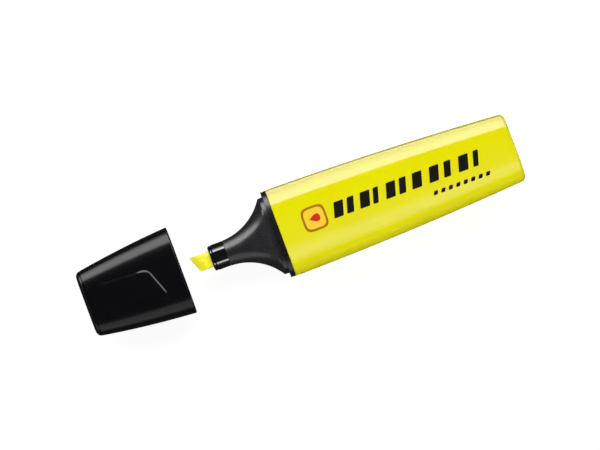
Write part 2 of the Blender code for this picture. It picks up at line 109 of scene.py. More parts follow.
NIB_HALF_WIDTH = 2.475 * MM
NIB_HALF_THICK = 1.6 * MM
NIB_TIP = -28.0 * MM  # the long side of the slanted edge
NIB_SLANT = 1.9 * MM  # how much shorter the other side is
NIB_WEDGE_START = -24.4 * MM
NIB_EDGE_HALF_THICK = 0.85 * MM
NIB_WORN = 0.35 * MM  # how far the edge is worn back
NIB_REAR = 14.0 * MM
NIB_CROWN = 0.3  # how far its broad face falls towards its sides, as a share of its height
SEAT_DEPTH = 7.5 * MM
REAR_WALL = 1.7 * MM
REAR_ROUND = 1.4 * MM
PLUG_RECESS = 0.25 * MM
PLUG_PLATE = 1.4 * MM
PLUG_WALL = 1.0 * MM
LINER_MOUTH = 15.7 * MM
LINER_BOTTOM = 27.6 * MM
LINER_END_WALL = 0.6 * MM
LINER_WALL = 0.8 * MM
LINER_BASE_THICKNESS = 1.0 * MM
LINER_FOLD = 0.8 * MM
CAP_END_WALL = 1.5 * MM
CAP_END_ROUND = 1.3 * MM
CAP_FACE_STEPS = 52
CAP_CORNER_STEPS = 14
CORE_HALF_WIDTH = 8.2 * MM
CORE_HALF_THICK = 4.6 * MM
WRAP_THICKNESS = 0.25 * MM

CAP_END = Vector(cap_end_mount["pos_m"])
CAP_RIM = CAP_END + AXIS_X * CAP_LENGTH
PEN_SEAM = CAP_RIM + AXIS_X * (CAP_PULLED + SEAM - FLANGE_FRONT)


def frame_at(origin):
    turn = Matrix((AXIS_X, AXIS_Y, AXIS_Z)).transposed().to_4x4()
    return Matrix.Translation(origin) @ turn


PEN_FRAME = frame_at(PEN_SEAM)
CAP_FRAME = frame_at(CAP_RIM)

# Mesh helpers --------------------------------------------------------------------------------------------

SMOOTH_BELOW = radians(30)
ROUND_STEPS = 6


def mix(a, b, share):
    return a + (b - a) * share


def spread(a, b, count):
    """count values from just after a up to b."""
    return [mix(a, b, step / count) for step in range(1, count + 1)]


def smoothstep(low, high, value):
    share = min(max((value - low) / (high - low), 0.0), 1.0)
    return share * share * (3 - 2 * share)


def outline(x, quarter, slant=0.0):
    """A closed ring at x from the (y, z) points of its first quarter.

    The quarter runs from the broad face's middle to the narrow side's. slant moves the +y side forward.
    """
    points = [(y, z) for y, z in quarter]
    points += [(y, -z) for y, z in reversed(quarter[:-1])]
    points += [(-y, -z) for y, z in quarter[1:]]
    points += [(-y, z) for y, z in reversed(quarter[1:-1])]
    return [(x - slant * y, y, z) for y, z in points]


def oval_quarter(half_width, half_thick, flat, side, power, face_steps=10, corner_steps=18, dense=0.8):
    """A flattened oval's quarter: even steps over the face up to dense of the width, then round the side."""
    reach_y, reach_z = half_width - flat, half_thick - side

    def height(y):
        run = max(y - flat, 0.0) / reach_y
        return side + reach_z * (1 - run**power) ** (1 / power)

    last = half_width * dense
    quarter = [(y, height(y)) for y in [0.0, *spread(0.0, last, face_steps)]]
    start = ((height(last) - side) / reach_z) ** (power / 2)
    for turn in spread(asin(min(start, 1.0)), 0.0, corner_steps):
        y = flat + reach_y * max(cos(turn), 0.0) ** (2 / power)
        quarter.append((y, side + reach_z * max(sin(turn), 0.0) ** (2 / power)))
    if side > 0:
        quarter.append((half_width, 0.0))
    return quarter


def chamfered_quarter(half_width, half_thick, flat, side, fold, fold_steps=6):
    """A quarter with a straight chamfer between broad face and narrow side, its two folds rounded."""
    corners = [(0.0, half_thick), (flat, half_thick), (half_width, side), (half_width, 0.0)]
    quarter = [corners[0]]
    for before, corner, after in zip(corners, corners[1:], corners[2:]):
        into = Vector(corner) - Vector(before)
        away = Vector(after) - Vector(corner)
        turn = into.angle(away)
        longest = 0.49 * min(into.length, away.length)  # so that two folds never meet
        reach = min(fold * sin(turn / 2) / cos(turn / 2), longest)
        start = Vector(corner) - into.normalized() * reach
        end = Vector(corner) + away.normalized() * reach
        for step in range(fold_steps + 1):
            share = step / fold_steps
            # A quadratic curve from start to end with the sharp corner as its handle
            one = start.lerp(Vector(corner), share)
            two = Vector(corner).lerp(end, share)
            quarter.append(tuple(one.lerp(two, share)))
    quarter.append(corners[-1])
    return quarter


def mesh_object(name, bm, material, placement=Matrix()):
    bmesh.ops.recalc_face_normals(bm, faces=bm.faces)
    mesh = bpy.data.meshes.new(name)
    bm.to_mesh(mesh)
    bm.free()
    mesh.transform(placement)
    mesh.materials.append(material)
    mesh.shade_smooth()
    mesh.set_sharp_from_angle(angle=SMOOTH_BELOW)
    obj = bpy.data.objects.new(name, mesh)
    bpy.context.scene.collection.objects.link(obj)
    return obj


def join_loops(bm, near, far):
    """A closed belt of faces between two loops of as many vertices."""
    count = len(near)
    for i in range(count):
        j = (i + 1) % count
        bm.faces.new((near[i], near[j], far[j], far[i]))


def close_end(bm, loop):
    """Fills a ring with strips across the pen, from its +y half to its -y half."""
    quarter = len(loop) // 4
    for i in range(quarter):
        upper = (i, i + 1, 2 * quarter - i - 1, 2 * quarter - i)
        lower = (-i, -i - 1, 2 * quarter + i + 1, 2 * quarter + i)
        for corners in (upper, lower):
            # The first and last strips are triangles, and dict.fromkeys drops their repeated corner
            bm.faces.new(dict.fromkeys(loop[corner] for corner in corners))


def loft(name, rings, material, placement, wrap=False):
    """One closed solid through the rings in order. wrap joins the last ring to the first, for a tube."""
    bm = bmesh.new()
    loops = [[bm.verts.new(point) for point in ring] for ring in rings]
    pairs = list(zip(loops, loops[1:]))
    if wrap:
        pairs.append((loops[-1], loops[0]))
    else:
        close_end(bm, loops[0])
        close_end(bm, loops[-1])
    for near, far in pairs:
        join_loops(bm, near, far)
    return mesh_object(name, bm, material, placement)


def join_by_boolean(target, helper):
    """Applies a union of helper into target and removes the helper."""
    modifier = target.modifiers.new("union", "BOOLEAN")
    modifier.operation = "UNION"
    modifier.solver = "EXACT"
    modifier.object = helper
    bpy.context.view_layer.update()
    evaluated = target.evaluated_get(bpy.context.evaluated_depsgraph_get())
    mesh = bpy.data.meshes.new_from_object(evaluated)
    target.modifiers.clear()
    old = target.data
    target.data = mesh
    bpy.data.meshes.remove(old)
    helper_mesh = helper.data
    bpy.data.objects.remove(helper)
    bpy.data.meshes.remove(helper_mesh)


def plates(name, stations, thickness, directions, material, placement):
    """Thin plates on a wall. A station is (x, inner, outer), and a direction is (axis, sign, offset)."""
    bm = bmesh.new()
    for axis, sign, offset in directions:
        loops = []
        for x, inner, outer in stations:
            loop = []
            for reach, side in ((inner, -1), (outer, -1), (outer, 1), (inner, 1)):
                along, across = sign * reach, offset + side * thickness / 2
                place = (x, along, across) if axis == "y" else (x, across, along)
                loop.append(bm.verts.new(place))
            loops.append(loop)
        bm.faces.new(loops[0])
        bm.faces.new(loops[-1])
        for near, far in zip(loops, loops[1:]):
            join_loops(bm, near, far)
    return mesh_object(name, bm, material, placement)


# Materials -----------------------------------------------------------------------------------------------

# The sockets of a Mix node that mixes colours
MIX_SHARE = 0
MIX_ONE = 6
MIX_TWO = 7
MIX_RESULT = 2


class Nodes:
    """Short names for the nodes that these materials use. All patterns use Object coordinates, in metres."""

    def __init__(self, name):
        self.material = bpy.data.materials.new(name)
        self.material.use_nodes = True
        self.tree = self.material.node_tree
        self.shader = self.tree.nodes["Principled BSDF"]
        self.coordinates = self.tree.nodes.new("ShaderNodeTexCoord").outputs["Object"]

    def link(self, out, socket):
        self.tree.links.new(out, socket)

    def set(self, **values):
        for name, value in values.items():
            self.shader.inputs[name.replace("_", " ")].default_value = value

    def stretched(self, scale):
        node = self.tree.nodes.new("ShaderNodeMapping")
        node.inputs["Scale"].default_value = scale
        self.link(self.coordinates, node.inputs["Vector"])
        return node.outputs["Vector"]

    def noise(self, size, detail=2.0, roughness=0.5, vector=None, seed=0.0):
        """Noise from 0 to 1 with blobs of about the given size."""
        node = self.tree.nodes.new("ShaderNodeTexNoise")
        node.noise_dimensions = "4D"
        node.inputs["W"].default_value = seed
        node.inputs["Scale"].default_value = 1.0 / size
        node.inputs["Detail"].default_value = detail
        node.inputs["Roughness"].default_value = roughness
        self.link(vector or self.coordinates, node.inputs["Vector"])
        return node.outputs["Fac"]

    def along_x(self):
        node = self.tree.nodes.new("ShaderNodeSeparateXYZ")
        self.link(self.coordinates, node.inputs["Vector"])
        return node.outputs["X"]

    def ramp(self, value, low, high, to_low=0.0, to_high=1.0):
        node = self.tree.nodes.new("ShaderNodeMapRange")
        for name, number in (("From Min", low), ("From Max", high), ("To Min", to_low), ("To Max", to_high)):
            node.inputs[name].default_value = number
        self.link(value, node.inputs["Value"])
        return node.outputs["Result"]

    def maths(self, operation, first, second):
        node = self.tree.nodes.new("ShaderNodeMath")
        node.operation = operation
        for socket, value in zip(node.inputs, (first, second)):
            if isinstance(value, (int, float)):
                socket.default_value = value
            else:
                self.link(value, socket)
        return node.outputs["Value"]

    def blend(self, share, one, two):
        """Mixes two colours, each a tuple or a socket, by a share socket."""
        node = self.tree.nodes.new("ShaderNodeMix")
        node.data_type = "RGBA"
        self.link(share, node.inputs[MIX_SHARE])
        for socket, value in ((node.inputs[MIX_ONE], one), (node.inputs[MIX_TWO], two)):
            if isinstance(value, tuple):
                socket.default_value = value
            else:
                self.link(value, socket)
        return node.outputs[MIX_RESULT]

    def bump(self, height, strength, distance, normal=None):
        node = self.tree.nodes.new("ShaderNodeBump")
        node.inputs["Strength"].default_value = strength
        node.inputs["Distance"].default_value = distance
        self.link(height, node.inputs["Height"])
        if normal is not None:
            self.link(normal, node.inputs["Normal"])
        return node.outputs["Normal"]


def moulded_plastic(name, colour, shade, roughness, level, grain, scuffs, tint=(1, 1, 1, 1), painted_shade=None):
    """Injection-moulded plastic: a slight unevenness of colour, a fine orange-peel skin and faint scuffs.

    shade is a second colour that it drifts towards, level the specular level, grain the skin's depth, scuffs
    how much they roughen it and tint the colour of its reflections. The last argument is (x, colour) where a
    darker
    stretch begins towards the rear: painted shade in the base colour, for the darker look of a polished surface.
    """
    n = Nodes(name)
    n.set(Specular_IOR_Level=level, IOR=1.5, Specular_Tint=tint)
    drift = n.ramp(n.noise(14 * MM, detail=1.0), 0.35, 0.7)
    base = n.blend(drift, colour, shade)
    if painted_shade:
        start, dark = painted_shade
        # Painted shade: the base colour turns darker from x towards the rear, in place of a polished stretch's
        # darker look
        base = n.blend(n.ramp(n.along_x(), start, start + 0.15 * MM), base, dark)
    n.link(base, n.shader.inputs["Base Color"])
    fine_lines = n.noise(0.5 * MM, detail=3.0, vector=n.stretched((0.08, 1.0, 1.0)), seed=3.0)
    patches = n.ramp(n.noise(6 * MM, detail=3.0, seed=7.0), 0.5, 0.75)
    scuffed = n.maths("MULTIPLY", n.ramp(fine_lines, 0.58, 0.75), patches)
    uneven = n.ramp(n.noise(2.5 * MM, detail=3.0, seed=11.0), 0.3, 0.7, roughness * 0.92, roughness * 1.08)
    n.link(n.maths("ADD", uneven, n.maths("MULTIPLY", scuffed, scuffs)), n.shader.inputs["Roughness"])
    skin = n.bump(n.noise(0.35 * MM, detail=2.0, seed=5.0), 0.5, grain)
    n.link(n.bump(fine_lines, 0.25, grain * 0.5, skin), n.shader.inputs["Normal"])
    return n.material


def fibre(name, colour, shade, strand, depth):
    """Pressed fibre strands that run along the pen, with darker ink-soaked streaks."""
    n = Nodes(name)
    n.set(Roughness=0.28, Specular_IOR_Level=0.8, Sheen_Weight=0.1, Sheen_Roughness=0.5)
    strands = n.noise(strand, detail=4.0, roughness=0.6, vector=n.stretched((0.06, 1.0, 1.0)), seed=2.0)
    soaked = n.noise(2.2 * MM, detail=2.0, seed=9.0)
    both = n.maths("ADD", n.maths("MULTIPLY", strands, 0.6), n.maths("MULTIPLY", soaked, 0.4))
    streaks = n.ramp(both, 0.38, 0.64)
    n.link(n.blend(streaks, shade, colour), n.shader.inputs["Base Color"])
    pores = n.noise(strand * 0.8, detail=2.0, seed=4.0)
    n.link(n.bump(pores, 0.35, depth * 0.6, n.bump(strands, 0.7, depth)), n.shader.inputs["Normal"])
    return n.material


def film(name):
    """Thin clear film."""
    n = Nodes(name)
    n.set(Roughness=0.12, IOR=1.5, Alpha=0.3, Base_Color=(0.85, 0.86, 0.84, 1.0))
    wrinkles = n.noise(3 * MM, detail=2.0, vector=n.stretched((0.3, 1.0, 1.0)))
    n.link(n.bump(wrinkles, 0.3, 0.05 * MM), n.shader.inputs["Normal"])
    return n.material


def ink(name, colour, shade, roughness):
    """Printed ink: a thin film with tiny speckles where it didn't quite cover."""
    n = Nodes(name)
    n.set(Specular_IOR_Level=0.12)
    speckle = n.ramp(n.noise(0.12 * MM, detail=2.0, seed=6.0), 0.62, 0.8)
    n.link(n.blend(speckle, colour, shade), n.shader.inputs["Base Color"])
    uneven = n.ramp(n.noise(1.2 * MM, seed=8.0), 0.3, 0.7, roughness * 0.9, roughness * 1.1)
    n.link(uneven, n.shader.inputs["Roughness"])
    n.link(n.bump(n.noise(0.2 * MM, seed=1.0), 0.2, 0.004 * MM), n.shader.inputs["Normal"])
    return n.material


# Each colour is followed by the shade that it drifts towards
YELLOW = moulded_plastic(
    "yellow_plastic",
    (0.79, 0.745, 0.0008, 1),
    (0.775, 0.715, 0.0006, 1),
    roughness=0.095,
    level=1.0,
    grain=0.004 * MM,
    scuffs=0.1,
    tint=(0.64, 0.56, 1, 1),
)
CAP_BLACK = moulded_plastic(
    "cap_plastic",
    (0.0036, 0.0036, 0.0052, 1),
    (0.0044, 0.0044, 0.006, 1),
    roughness=0.2,
    level=0.5,
    grain=0.005 * MM,
    scuffs=0.14,
)
# The grip's darker stretch from the flange back is painted shade in its base colour, not a change of roughness
painted_shade_start = PEN_FRAME @ Vector((FLANGE_FRONT - 0.2 * MM, 0.0, 0.0))
GRIP_BLACK = moulded_plastic(
    "grip_plastic",
    (0.0165, 0.0165, 0.019, 1),
    (0.02, 0.02, 0.0225, 1),
    roughness=0.28,
    level=0.9,
    grain=0.01 * MM,
    scuffs=0.1,
    painted_shade=(painted_shade_start.x, (0.0085, 0.0085, 0.0095, 1)),
)
NOZZLE_BLACK = moulded_plastic(
    "nozzle_plastic",
    (0.008, 0.008, 0.01, 1),
    (0.01, 0.01, 0.012, 1),
    roughness=0.1,
    level=1.0,
    grain=0.002 * MM,
    scuffs=0.08,
)
NIB_FIBRE = fibre(
    "nib_fibre",
    (0.98, 0.93, 0.003, 1),
    (0.9, 0.85, 0.002, 1),
    strand=0.14 * MM,
    depth=0.03 * MM,
)
CORE_FIBRE = fibre(
    "core_fibre",
    (0.86, 0.80, 0.03, 1),
    (0.70, 0.66, 0.01, 1),
    strand=0.3 * MM,
    depth=0.08 * MM,
)
CLEAR_FILM = film("clear_film")
BLACK_INK = ink("black_ink", (0.006, 0.0045, 0.003, 1), (0.02, 0.018, 0.003, 1), roughness=0.35)
AMBER_INK = ink("amber_ink", (0.36, 0.15, 0.001, 1), (0.44, 0.2, 0.001, 1), roughness=0.3)
PALE_INK = ink("pale_ink", (0.86, 0.56, 0.03, 1), (0.82, 0.6, 0.02, 1), roughness=0.3)
RED_INK = ink("red_ink", (0.6, 0.016, 0.006, 1), (0.62, 0.06, 0.008, 1), roughness=0.3)

# Barrel and end plug -------------------------------------------------------------------------------------


def barrel_half_width(x):
    return SEAM_HALF_WIDTH - BARREL_TAPER * x - BARREL_BULGE * x * x


def barrel_half_thick(x):
    return mix(SEAM_HALF_THICK, REAR_HALF_THICK, x / BARREL_LENGTH)


def crowned(half_width, y, z):
    """The height z of a broad face at y, lowered towards its sides."""
    return z * (1 - CROWN * (y / half_width) ** 2)


def body_quarter(half_width, half_thick, **steps):
    """A quarter of the section that the barrel, the flange, the seat and the cap share."""
    quarter = oval_quarter(half_width, half_thick, half_width * FLAT_SHARE, 0.0, BODY_SQUARENESS, **steps)
    return [(y, crowned(half_width, y, z)) for y, z in quarter]


def barrel_ring(x, inset=0.0, place=None):
    """The barrel's section at x, put at place if that is given."""
    at = x if place is None else place
    return outline(at, body_quarter(barrel_half_width(x) - inset, barrel_half_thick(x) - inset))


def plug_seat_ring(x, inset=0.0):
    width = barrel_half_width(BARREL_LENGTH) - REAR_WALL - inset
    return outline(x, body_quarter(width, REAR_HALF_THICK - REAR_WALL - inset))


def rounded_edge(x, radius, forward, ring):
    """Rings round an edge at x, from its end face to its side. forward is 1 where the solid lies at +x."""
    rings = []
    for step in range(ROUND_STEPS + 1):
        turn = step / ROUND_STEPS * pi / 2
        rings.append(ring(x + forward * radius * (1 - sin(turn)), radius * (1 - cos(turn))))
    return rings


def build_barrel():
    """A tapered tube with a straight seat for the plug, and ribs inside that hold the reservoir."""
    edge, seat_edge = 0.15 * MM, 0.12 * MM
    seat_start = BARREL_LENGTH - SEAT_DEPTH
    inner_stations = (seat_start - 2 * MM, 44 * MM, 22 * MM, 0.0)
    rings = rounded_edge(0.0, edge, 1, barrel_ring)
    rings += [barrel_ring(x) for x in spread(edge, BARREL_LENGTH - REAR_ROUND, 36)]
    rings += list(reversed(rounded_edge(BARREL_LENGTH, REAR_ROUND, -1, barrel_ring)))[1:]
    rings += [plug_seat_ring(BARREL_LENGTH, -seat_edge), plug_seat_ring(BARREL_LENGTH - seat_edge)]
    rings += [plug_seat_ring(seat_start)]
    rings += [barrel_ring(x, BARREL_WALL) for x in inner_stations]
    barrel = loft("barrel_body", rings, YELLOW, PEN_FRAME, wrap=True)

    rib_start, rib_end = SPIGOT_LENGTH + 1.5 * MM, seat_start - 0.3 * MM
    rib, apart, into = 0.8 * MM, 4.0 * MM, 0.6 * MM  # thickness, place and how far a rib runs into the wall
    room = SEAM + WRAP_THICKNESS + SLIP
    stations = [rib_start, *spread(rib_start, rib_end, 3)]
    broad = [(x, CORE_HALF_THICK + room, barrel_half_thick(x) - into) for x in stations]
    directions = [("z", sign, offset) for sign in (1, -1) for offset in (-apart, apart)]
    join_by_boolean(barrel, plates("ribs", broad, rib, directions, YELLOW, PEN_FRAME))
    side = [(x, CORE_HALF_WIDTH + room, barrel_half_width(x) - into) for x in stations]
    directions = [("y", 1, 0.0), ("y", -1, 0.0)]
    join_by_boolean(barrel, plates("side_ribs", side, rib, directions, YELLOW, PEN_FRAME))
    return barrel


def plug_ring(x, inset=0.0):
    return plug_seat_ring(x, SEAM + inset)


def build_end_plug():
    """A cup that opens towards the nib, with crossed ribs inside and a raised border round its outer face."""
    front, back = BARREL_LENGTH - SEAT_DEPTH + SEAM, BARREL_LENGTH - PLUG_RECESS
    edge, border, slope, sunk = 0.3 * MM, 1.1 * MM, 0.15 * MM, 0.12 * MM
    face_edge = edge + border + slope
    rings = [
        plug_ring(back - sunk, face_edge + 1.5 * MM),
        plug_ring(back - sunk, face_edge),
        plug_ring(back, edge + border),
    ]
    rings += rounded_edge(back, edge, -1, plug_ring)
    rings += list(reversed(rounded_edge(front, edge, 1, plug_ring)))
    rings += [plug_ring(front, PLUG_WALL), plug_ring(back - PLUG_PLATE, PLUG_WALL)]
    plug = loft("rear_plug", rings, YELLOW, PEN_FRAME)

    rib, apart, into = 0.9 * MM, 4.0 * MM, 0.5 * MM  # thickness, place and how far a rib runs into the wall
    walls = REAR_WALL + SEAM + PLUG_WALL - into
    wide, thin = barrel_half_width(BARREL_LENGTH) - walls, REAR_HALF_THICK - walls
    ends = (front + SLIP, back - PLUG_PLATE + into)
    stations = [(x, -wide, wide) for x in ends]
    ribs = plates("cross_wide", stations, rib, [("y", 1, 0.0)], YELLOW, PEN_FRAME)
    stations = [(x, -thin, thin) for x in ends]
    directions = [("z", 1, -apart), ("z", 1, apart)]
    join_by_boolean(ribs, plates("cross_thin", stations, rib, directions, YELLOW, PEN_FRAME))
    join_by_boolean(plug, ribs)
    return plug


# Front section, nozzle and nib ---------------------------------------------------------------------------


def flare_arc(x, start, radius):
    run = x - FLARE_TANGENT
    return start + radius - sqrt(radius * radius - run * run)


def flare_half_width(x):
    return flare_arc(x, FLARE_HALF_WIDTH, FLARE_RADIUS_WIDE)


def flare_half_thick(x):
    return flare_arc(x, FLARE_HALF_THICK, FLARE_RADIUS_THIN)


def flare_ring(x, inset=0.0):
    width, thick = flare_half_width(x) - inset, flare_half_thick(x) - inset
    flat = width * FLARE_FLAT_GROWTH * max(x - FLARE_FLAT_START, 0.0)
    return outline(x, oval_quarter(width, thick, flat, 0.0, 2.0, corner_steps=18))


def seat_ring(x, inset=0.0):
    return outline(x, body_quarter(SEAT_HALF_WIDTH - inset, SEAT_HALF_THICK - inset))


def spigot_ring(x, inset=0.0, place=None):
    return barrel_ring(x, BARREL_WALL + SLIP + inset, place)


def flange_ring(x, inset=0.0):
    return barrel_ring(0.0, inset, place=x)


def tail_bore_ring(x):
    width, thick = TAIL_HALF_WIDTH + TAIL_FIT, TAIL_HALF_THICK + TAIL_FIT
    return outline(x, oval_quarter(width, thick, width * 0.6, thick * 0.5, 2.1, corner_steps=17))


def build_front_section():
    """From the spigot's end over the flange, the seat and the flare, and back through the hollow inside."""
    edge, tight_edge, mouth_edge = 0.14 * MM, 0.08 * MM, 0.06 * MM
    flare_start = SEAT_FRONT - 0.25 * MM
    rings = [spigot_ring(SPIGOT_LENGTH, edge), spigot_ring(SPIGOT_LENGTH - edge)]
    rings += [spigot_ring(0.0), spigot_ring(0.0, place=-TIGHT)]
    rings += rounded_edge(-TIGHT, tight_edge, -1, flange_ring)
    rings += list(reversed(rounded_edge(FLANGE_FRONT, edge, 1, flange_ring)))
    rings += [seat_ring(FLANGE_FRONT)]
    rings += list(reversed(rounded_edge(SEAT_FRONT, edge, 1, seat_ring)))
    rings += [flare_ring(x) for x in [flare_start, *spread(flare_start, FLARE_FRONT + mouth_edge, 44)]]
    rings += list(reversed(rounded_edge(FLARE_FRONT, mouth_edge, 1, flare_ring)))[1:]
    rings += [tail_bore_ring(FLARE_FRONT), tail_bore_ring(TAIL_BORE_REAR)]
    for x, wall in ((-7.5 * MM, 1.8 * MM), (-5.0 * MM, 1.6 * MM)):
        rings.append(flare_ring(x, wall))
    rings += [seat_ring(SEAT_FRONT + 0.6 * MM, 2.0 * MM)]
    rings += [spigot_ring(0.5 * MM, SPIGOT_WALL), spigot_ring(SPIGOT_LENGTH, SPIGOT_WALL)]
    return loft("grip_section", rings, GRIP_BLACK, PEN_FRAME, wrap=True)


def nozzle_ring(x, inset=0.0):
    width, thick = NOZZLE_HALF_WIDTH - inset, NOZZLE_HALF_THICK - inset
    flat = NOZZLE_HALF_FLAT - inset * NOZZLE_FLAT_LOSS
    side = NOZZLE_HALF_SIDE - inset * NOZZLE_FLAT_LOSS
    return outline(x, chamfered_quarter(width, thick, flat, side, NOZZLE_FOLD))


def nozzle_tail_ring(x, inset=0.0):
    width, thick = TAIL_HALF_WIDTH - inset, TAIL_HALF_THICK - inset
    return outline(x, chamfered_quarter(width, thick, width * 0.65, thick * 0.55, 0.6 * MM))


def nib_slot_ring(x, lead=0.0):
    """The slot that the nib sits in, with room on both broad faces for the grips that hold it."""
    width, thick, corner = NIB_HALF_WIDTH + 0.12 * MM + lead, 2.0 * MM + lead, 0.35 * MM
    return outline(x, chamfered_quarter(width, thick, width - corner, thick - corner, 0.3 * MM))


def build_nozzle():
    edge, lip, tail_edge, shoulder_edge = 0.8 * MM, 0.15 * MM, 0.2 * MM, 0.05 * MM
    shoulder = FLARE_FRONT - TIGHT
    rings = [nib_slot_ring(NOZZLE_FRONT + lip), nib_slot_ring(NOZZLE_FRONT, lip)]
    rings += rounded_edge(NOZZLE_FRONT, edge, 1, nozzle_ring)
    rings += [nozzle_ring(x) for x in spread(NOZZLE_FRONT + edge, shoulder - shoulder_edge, 10)]
    rings += [nozzle_ring(shoulder, shoulder_edge), nozzle_tail_ring(shoulder)]
    rings += [nozzle_tail_ring(TAIL_REAR - 0.3 * MM), nozzle_tail_ring(TAIL_REAR, tail_edge)]
    rings += [nib_slot_ring(TAIL_REAR)]
    nozzle = loft("nozzle", rings, NOZZLE_BLACK, PEN_FRAME, wrap=True)

    grip, apart = 0.5 * MM, 1.6 * MM
    inner, outer = NIB_HALF_THICK + 0.1 * MM, 2.3 * MM
    stations = [(x, inner, outer) for x in (NOZZLE_FRONT + 1.0 * MM, TAIL_REAR - 0.6 * MM)]
    directions = [("z", sign, offset) for sign in (1, -1) for offset in (-apart, 0.0, apart)]
    join_by_boolean(nozzle, plates("grips", stations, grip, directions, NOZZLE_BLACK, PEN_FRAME))
    return nozzle


def nib_ring(x, half_thick, slant=0.0, half_width=NIB_HALF_WIDTH, corner=0.4 * MM):
    flat, side = half_width - corner, half_thick - corner
    quarter = oval_quarter(half_width, half_thick, flat, side, 2.0, corner_steps=8, dense=flat / half_width)
    return outline(x, [(y, z * (1 - NIB_CROWN * (y / half_width) ** 2)) for y, z in quarter], slant)


def build_nib():
    """The chisel's two faces meet at a slanted, worn edge, and the slant dies out towards the nozzle."""
    slant = NIB_SLANT / (2 * NIB_HALF_WIDTH)
    slant_behind = slant * 0.4  # what is left of it where the chisel's faces start
    edge_middle = NIB_TIP + NIB_SLANT / 2
    thinned = NIB_WORN * 0.85
    half_thick = NIB_EDGE_HALF_THICK - thinned
    rings = [nib_ring(edge_middle, half_thick, slant, NIB_HALF_WIDTH - NIB_WORN * 0.5, 0.25 * MM)]
    for turn in spread(0.0, pi / 2, ROUND_STEPS):
        shrink = thinned * (1 - sin(turn))
        x = edge_middle + NIB_WORN * (1 - cos(turn))
        half_thick = NIB_EDGE_HALF_THICK - shrink
        rings.append(nib_ring(x, half_thick, slant, NIB_HALF_WIDTH - shrink * 0.5, 0.3 * MM))
    for share in spread(0.0, 1.0, 14):
        x = mix(edge_middle + NIB_WORN, NIB_WEDGE_START, share)
        half_thick = mix(NIB_EDGE_HALF_THICK, NIB_HALF_THICK, share)
        turned = mix(slant, slant_behind, share)
        rings.append(nib_ring(x, half_thick, turned, corner=mix(0.3, 0.4, share) * MM))
    for share in spread(0.0, 1.0, 8):
        x = mix(NIB_WEDGE_START, NOZZLE_FRONT, share)
        rings.append(nib_ring(x, NIB_HALF_THICK, slant_behind * (1 - share)))
    rings += [nib_ring(x, NIB_HALF_THICK) for x in spread(NOZZLE_FRONT, NIB_REAR - 3 * MM, 12)]
    rings += [nib_ring(NIB_REAR, NIB_HALF_THICK * 0.45, half_width=NIB_HALF_WIDTH * 0.6, corner=0.3 * MM)]
    return loft("chisel_nib", rings, NIB_FIBRE, PEN_FRAME)


# Cap -----------------------------------------------------------------------------------------------------


def cap_half_width(depth):
    return SEAM_HALF_WIDTH - CAP_TAPER * depth - CAP_BULGE * depth * depth


def cap_half_thick(depth):
    return SEAM_HALF_THICK - CAP_THIN_TAPER * depth - CAP_THIN_BULGE * depth * depth


RELIEF_HEIGHT = 0.3 * MM
RELIEF_CORNER = (9.0 * MM, 3.9 * MM)  # depth and y where the panel's two edges would meet
RELIEF_ROUND = 1.9 * MM
RELIEF_WALL = 0.7 * MM  # how wide the step up to the panel is
RELIEF_LONG_EDGE = radians(2.8)  # its turn from the pen's axis
RELIEF_SHORT_EDGE = radians(20.4)  # its turn from straight across the pen
RELIEF_DIP = (1.5 * MM, 4.5 * MM)  # from the corner along the long edge, where its height drops
RELIEF_DIPPED = 0.3  # the share of the height that is left beyond that
RELIEF_LONG_END = (12 * MM, 17 * MM)  # where the long edge runs out
RELIEF_SHORT_END = (7.7 * MM, 11 * MM)  # and the short edge
RELIEF_SINKS_OVER = 9 * MM


def relief(depth, y):
    """Height of the cap's raised panel over its broad face.

    The panel stands proud along its two edges, which meet in a rounded corner, and sinks back into the face
    away from them.
    """
    along, across = RELIEF_CORNER[0] - depth, y - RELIEF_CORNER[1]
    past_long = across * cos(RELIEF_LONG_EDGE) + along * sin(RELIEF_LONG_EDGE)
    past_short = along * cos(RELIEF_SHORT_EDGE) + across * sin(RELIEF_SHORT_EDGE)
    a, b = past_long + RELIEF_ROUND, past_short + RELIEF_ROUND
    past = min(max(a, b), 0.0) + hypot(max(a, 0.0), max(b, 0.0)) - RELIEF_ROUND
    wall = 1 - smoothstep(-RELIEF_WALL, 0.0, past)
    sink = 1 - smoothstep(0.0, RELIEF_SINKS_OVER, -past)
    fade = mix(RELIEF_DIPPED, 1.0, 1 - smoothstep(*RELIEF_DIP, -along))
    fade *= 1 - smoothstep(*RELIEF_LONG_END, -along)
    fade *= 1 - smoothstep(*RELIEF_SHORT_END, -across)
    return RELIEF_HEIGHT * wall * sink * fade


def cap_ring(depth, inset=0.0):
    width, thick = cap_half_width(depth) - inset, cap_half_thick(depth) - inset
    quarter = body_quarter(width, thick, face_steps=CAP_FACE_STEPS, corner_steps=CAP_CORNER_STEPS)
    return outline(-depth, quarter)


def cap_outer_ring(depth):
    """The cap's outside with its panel on both broad faces."""
    ring = []
    for x, y, z in cap_ring(depth):
        side = 1 if z > 0 else -1
        ring.append((x, y, z + side * relief(depth, y)))
    return ring


def build_cap():
    """From the middle of the closed end over the outside to the rim, and down the inside to its bottom."""
    edge, end_inset, inner_round = 0.22 * MM, 2.5 * MM, 0.6 * MM
    bottom = CAP_LENGTH - CAP_END_WALL
    rings = [cap_ring(CAP_LENGTH, CAP_END_ROUND + end_inset)]
    rings += rounded_edge(CAP_LENGTH, CAP_END_ROUND, -1, cap_ring)
    rings += [cap_outer_ring(depth) for depth in spread(CAP_LENGTH - CAP_END_ROUND, edge, 110)]
    rings += list(reversed(rounded_edge(0.0, edge, 1, cap_ring)))[1:]
    rings += [cap_ring(0.0, CAP_WALL - edge), cap_ring(edge, CAP_WALL)]
    rings += [cap_ring(depth, CAP_WALL) for depth in spread(edge, bottom - inner_round, 12)]
    rings += [cap_ring(bottom, CAP_WALL + inner_round)]
    return loft("cap_body", rings, CAP_BLACK, CAP_FRAME)


